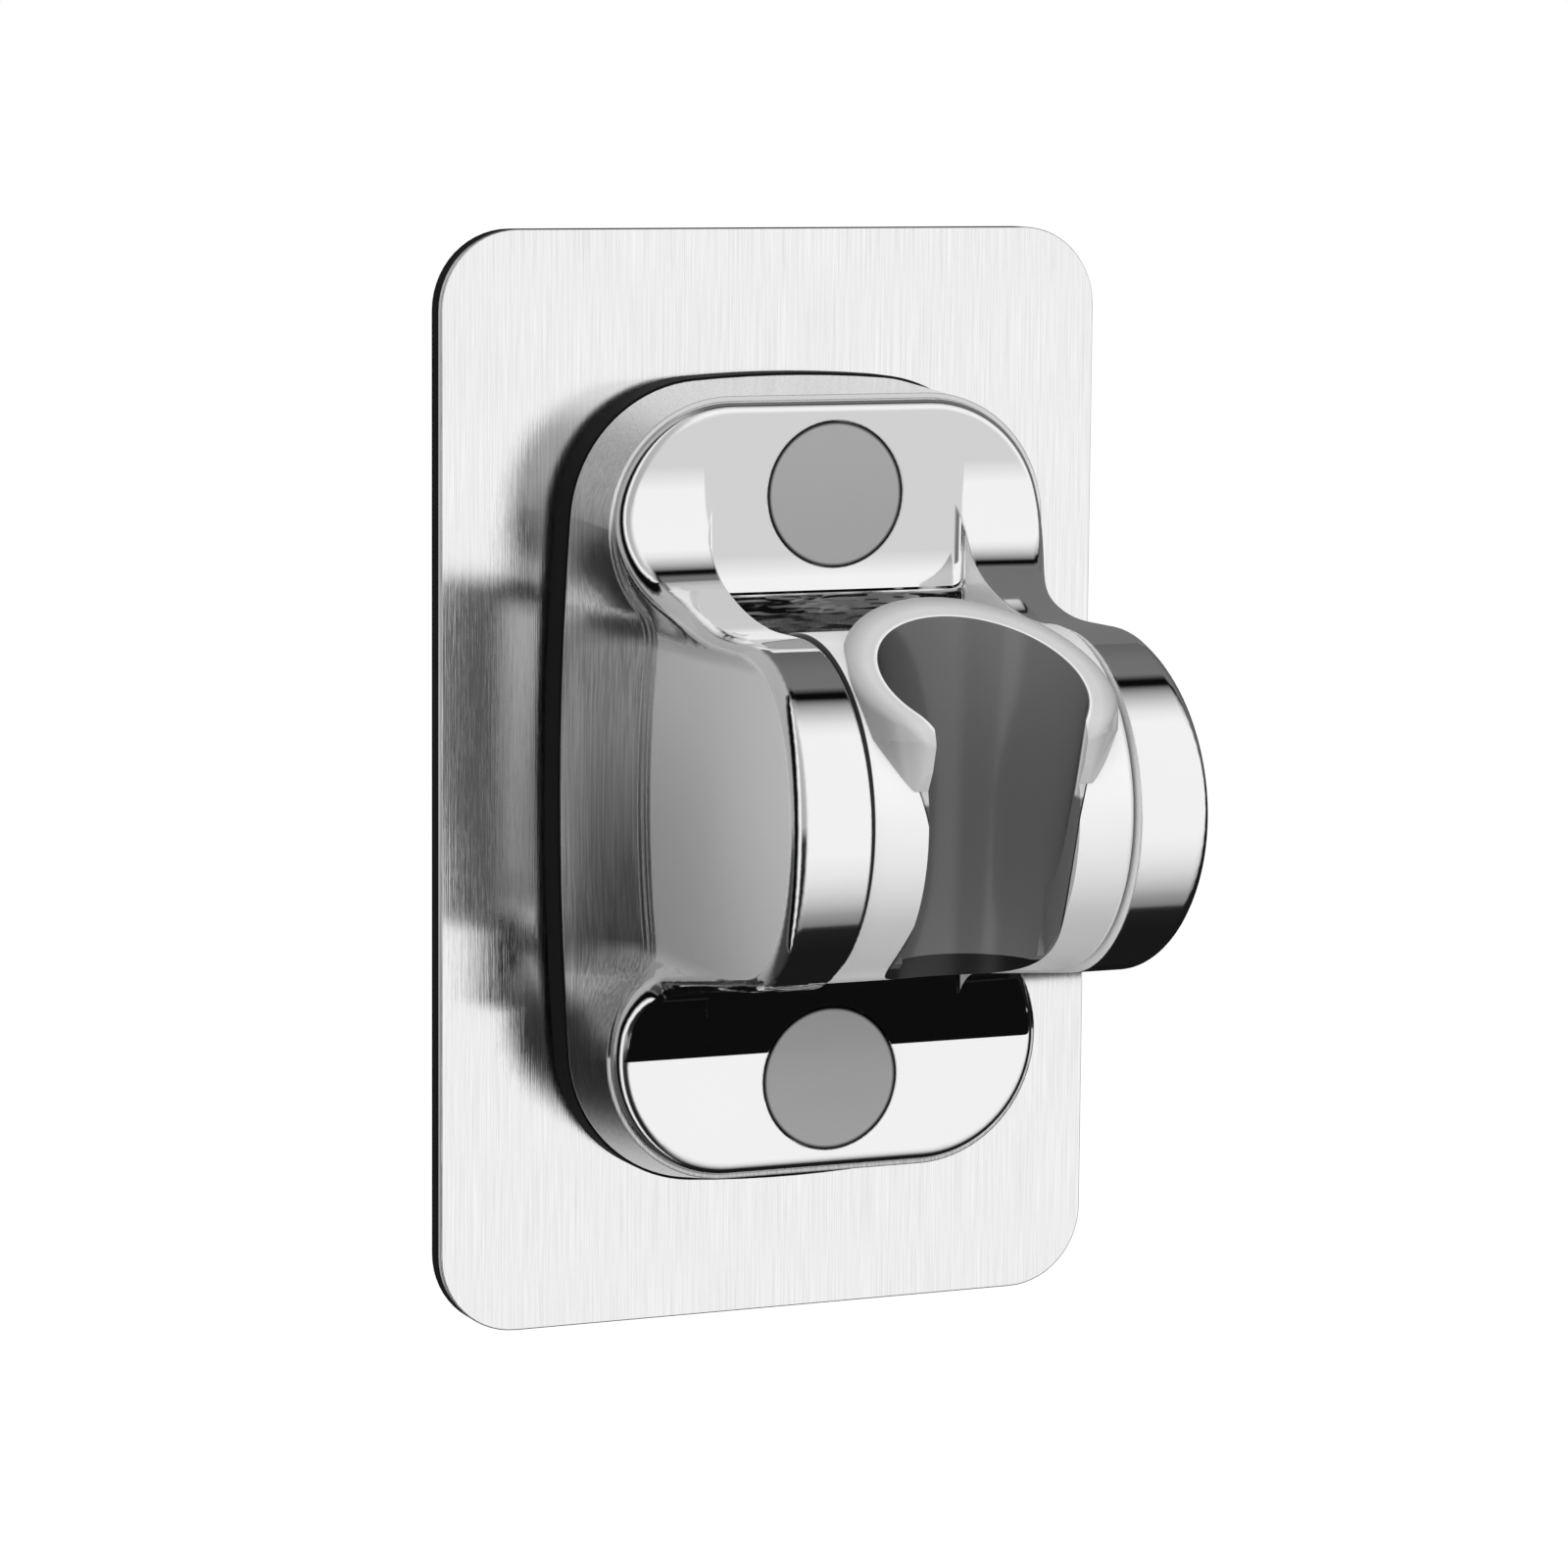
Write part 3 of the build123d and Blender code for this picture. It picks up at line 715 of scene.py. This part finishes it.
# %% Light levels of the room
# Each pair is an angle in degrees and a display grey from 0 to 255.
RIGHT_PAPER = [
    (-180, 26), (-92, 26), (-74, 34), (-71.5, 60), (-70, 128), (-62, 158), (-55, 192), (-46, 220),
    (-34, 242), (-20, 254), (58, 255), (66, 240), (74, 205), (81, 160), (85, 110),
    (86.5, 8), (92, 8), (93.5, 70), (97, 118), (112, 116), (128, 106), (150, 96), (180, 80),
]
LEFT_FRONT_CARD = [
    (-90, 30), (-30, 36), (-11, 50), (-9, 66), (-7.5, 74), (-6, 95), (-4, 140), (0, 180), (90, 200),
]
LEFT_SIDE_CARD = [
    (-90, 50), (-14, 75), (-10.5, 90), (-9.5, 120), (-7.5, 130), (-6, 150), (-4.5, 172), (90, 185),
]
LEFT_BACK_CARD = [(-90, 90), (-12, 165), (-9, 175), (-7.4, 198), (-6, 184), (0, 178), (90, 190)]
EDGE_LINES = [(-104, 125), (-94, 8), (-70, 8), (-60, 255), (-46, 255), (-39, 110)]
EDGE_REACH = [(-106, 0), (-102, 255), (-46, 255), (-39, 0)]


def display_grey(shown):
    """A display grey from 0 to 255 as a linear colour, by the sRGB formula."""
    value = shown / 255
    if value <= 0.04045:
        return grey(value / 12.92)
    return grey(((value + 0.055) / 1.055) ** 2.4)


def levels(value, reach, stops):
    """Greys along an angle, whose reach is a pair: its lowest and its highest value."""
    low, high = reach
    along = worked_out(sky, "DIVIDE", worked_out(sky, "SUBTRACT", value, low), high - low)
    ramp = added(sky, "ShaderNodeValToRGB", {"Fac": along})
    elements = ramp.color_ramp.elements
    while len(elements) < len(stops):
        elements.new(0.5)
    for element, (angle, shown) in zip(elements, stops):
        element.position = (angle - low) / (high - low)
        element.color = (*display_grey(shown), 1)
    return ramp.outputs["Color"]


print("light levels:", len(RIGHT_PAPER), "on the right,", len(LEFT_FRONT_CARD), "in front on the left")

# %% Join the walls of the room
def blended(value, border, first, second):
    """Two colours of the sky, one before a border and one past it, joined smoothly."""
    inputs = {"Value": value, "From Min": border[0], "From Max": border[1]}
    side = added(sky, "ShaderNodeMapRange", inputs, interpolation_type="SMOOTHSTEP")
    return mixed(sky, side.outputs["Result"], first, second)


TO_BACK = (0.5, 0.8)
TO_SIDE = (-0.3, 0.1)
TO_RIGHT = (-0.2, 0.15)
UP_AND_DOWN = (-90, 90)
ALL_ROUND = (-180, 180)

side_card = levels(rise, UP_AND_DOWN, LEFT_SIDE_CARD)
behind = blended(north, TO_BACK, side_card, levels(rise, UP_AND_DOWN, LEFT_BACK_CARD))
cards = blended(north, TO_SIDE, levels(rise, UP_AND_DOWN, LEFT_FRONT_CARD), behind)
edge_lines = levels(turn, ALL_ROUND, EDGE_LINES)
left_wall = mixed(sky, levels(turn, ALL_ROUND, EDGE_REACH), cards, edge_lines)
room = blended(east, TO_RIGHT, left_wall, levels(pitch, ALL_ROUND, RIGHT_PAPER))
print("the room turns to the right wall between x =", *TO_RIGHT)

# %% [markdown]
# ## Which rays see what
# Mirror rays see the room, the camera sees plain white behind the product, and all other
# rays get an even grey light that brings each dull colour out about as it is written.

# %% The light of the sky
DULL_LIGHT = grey(0.95)
DULL_STRENGTH = 0.62


def sky_light(colour, strength=1.0):
    """A background of the sky."""
    return added(sky, "ShaderNodeBackground", {"Color": colour, "Strength": strength}).outputs[0]


def sky_choice(ray, otherwise, chosen):
    """One background for a kind of ray, and another for the rest."""
    return added(sky, "ShaderNodeMixShader", {0: rays.outputs[ray], 1: otherwise, 2: chosen}).outputs[0]


rays = added(sky, "ShaderNodeLightPath", {})
mirrored = sky_choice("Is Glossy Ray", sky_light(DULL_LIGHT, DULL_STRENGTH), sky_light(room))
seen_by_all = sky_choice("Is Camera Ray", mirrored, sky_light(WHITE))
feed(sky, sky.nodes["World Output"].inputs["Surface"], seen_by_all)
print("even light:", DULL_STRENGTH, "of grey", DULL_LIGHT[0])

# %% [markdown]
# ## Small cards
# A sky is the same from everywhere, but a card close by darkens or lightens one place
# only. The flat faces of the bracket look almost straight back past the cradle. A black
# card under the cradle gives the lower face its black band, and a white one above it gives
# the upper face its bright band. Two grey cards fill the foot of the right ear, and one
# darkens the image of the left ear in the panel. They belong to the studio and not to the
# holder. Each is seen from one side, and only by mirror rays.

# %% Make a card
BLACK = 14
WHITE_PAPER = 255
GREY = 118
DARK_GREY = 88


def one_sided_glow(name, shown, front):
    """A material that glows on one side of a sheet and is clear on the other."""
    sheet = bpy.data.materials.new(name)
    sheet.use_nodes = True
    tree = sheet.node_tree
    tree.nodes.remove(tree.nodes["Principled BSDF"])
    glow = added(tree, "ShaderNodeEmission", {"Color": display_grey(shown)}).outputs[0]
    clear = added(tree, "ShaderNodeBsdfTransparent", {}).outputs[0]
    facing = added(tree, "ShaderNodeNewGeometry", {}).outputs["Backfacing"]
    sides = {1: glow, 2: clear} if front else {1: clear, 2: glow}
    one_sided = added(tree, "ShaderNodeMixShader", {0: facing, **sides})
    feed(tree, tree.nodes["Material Output"].inputs["Surface"], one_sided.outputs[0])
    return sheet


def reflection_card(name, lower, upper, across, shown, front=False):
    """A card from a lower to an upper edge, each (y, z), and across from x to x."""
    rise_y, rise_z = upper[0] - lower[0], upper[1] - lower[1]
    width, length = across[1] - across[0], math.hypot(rise_y, rise_z)
    middle = (sum(across) / 2, (lower[0] + upper[0]) / 2, (lower[1] + upper[1]) / 2)
    tilt = Matrix.Rotation(math.atan2(rise_z, rise_y), 3, "X")
    sheet = bmesh.new()
    bmesh.ops.create_grid(sheet, x_segments=1, y_segments=1, size=0.5)
    bmesh.ops.scale(sheet, verts=sheet.verts, vec=(width, length, 1))
    bmesh.ops.rotate(sheet, verts=sheet.verts, matrix=tilt)
    bmesh.ops.translate(sheet, verts=sheet.verts, vec=middle)
    card_mesh = bpy.data.meshes.new(name)
    sheet.to_mesh(card_mesh)
    sheet.free()
    card_mesh.materials.append(one_sided_glow(name, shown, front))
    board = bpy.data.objects.new(name, card_mesh)
    scene.collection.objects.link(board)
    board.visible_camera = False
    board.visible_diffuse = False
    board.visible_shadow = False
    board.visible_transmission = False
    return board


print("card greys:", BLACK, DARK_GREY, GREY, WHITE_PAPER)

# %% Cards below and above the cradle
BLACK_Y = -0.032
WHITE_Y = -0.031
SHELF_Z = -0.0288
FACE_Y = -0.0202

reflection_card(
    "black_card", lower=(BLACK_Y, SHELF_Z), upper=(BLACK_Y, -0.0140), across=(-0.0245, 0.060), shown=BLACK,
)
reflection_card(
    "black_shelf", lower=(FACE_Y, SHELF_Z), upper=(BLACK_Y, SHELF_Z), across=(-0.0253, 0.060), shown=BLACK,
)
reflection_card(
    "white_card", lower=(WHITE_Y, 0.0212), upper=(WHITE_Y, 0.02415), across=(-0.024, 0.040),
    shown=WHITE_PAPER,
)
print("the cards below and above the cradle stand at y =", BLACK_Y, "and", WHITE_Y)

# %% Cards for the right ear's foot
SIDE_Y = -0.008
FOOT_Y = -0.0203

reflection_card(
    "side_card", lower=(SIDE_Y, 0.0180), upper=(SIDE_Y, 0.0680), across=(0.021, 0.062),
    shown=GREY, front=True,
)
reflection_card(
    "foot_card", lower=(FOOT_Y, 0.0240), upper=(FOOT_Y, 0.0450), across=(0.0150, 0.0265),
    shown=GREY, front=True,
)
print("both are seen by rays that run back towards the wall, at y =", SIDE_Y, "and", FOOT_Y)

# %% The card beside the left ear
CHEEK_HEIGHTS = (-0.0205, 0.0200)
CHEEK_ACROSS = (-0.0115, 0.0115)
CHEEK_PLACE = (-0.0262, -0.0320, 0)

cheek_card = reflection_card(
    "cheek_card", lower=(0, CHEEK_HEIGHTS[0]), upper=(0, CHEEK_HEIGHTS[1]), across=CHEEK_ACROSS,
    shown=DARK_GREY,
)
quarter_turn = Matrix.Rotation(math.radians(90), 4, "Z")
cheek_card.matrix_world = Matrix.Translation(CHEEK_PLACE) @ quarter_turn
print("the card beside the left ear stands at x =", CHEEK_PLACE[0])

# %% [markdown]
# ## Lamps
# Three large softboxes, above, to the left and in front, give the dull pieces a soft
# light with a slight direction. They are kept out of the mirrors, where the sky already
# has the room.

# %% Softboxes
def soft_lamp(name, at, width, height, power):
    """A rectangular softbox that faces the holder."""
    light = bpy.data.lights.new(name, "AREA")
    light.shape = "RECTANGLE"
    light.size = width
    light.size_y = height
    light.energy = power
    lamp = bpy.data.objects.new(name, light)
    facing = (-Vector(at)).to_track_quat("-Z", "Y")
    lamp.matrix_world = Matrix.Translation(at) @ facing.to_matrix().to_4x4()
    lamp.visible_glossy = False
    scene.collection.objects.link(lamp)
    print(name, "of", power, "W at", at)


soft_lamp("top_box", at=(0, -0.3, 1.2), width=1.2, height=1.2, power=8)
soft_lamp("left_box", at=(-1.2, -0.5, 0.4), width=0.8, height=1.2, power=3)
soft_lamp("front_box", at=(0.6, -1.3, 0.5), width=0.8, height=0.8, power=3)

# %% [markdown]
# ## Colours
# The Standard view shows each colour as it is, without a film curve.

# %% Colour management
scene.view_settings.view_transform = "Standard"
print("view:", scene.view_settings.view_transform)
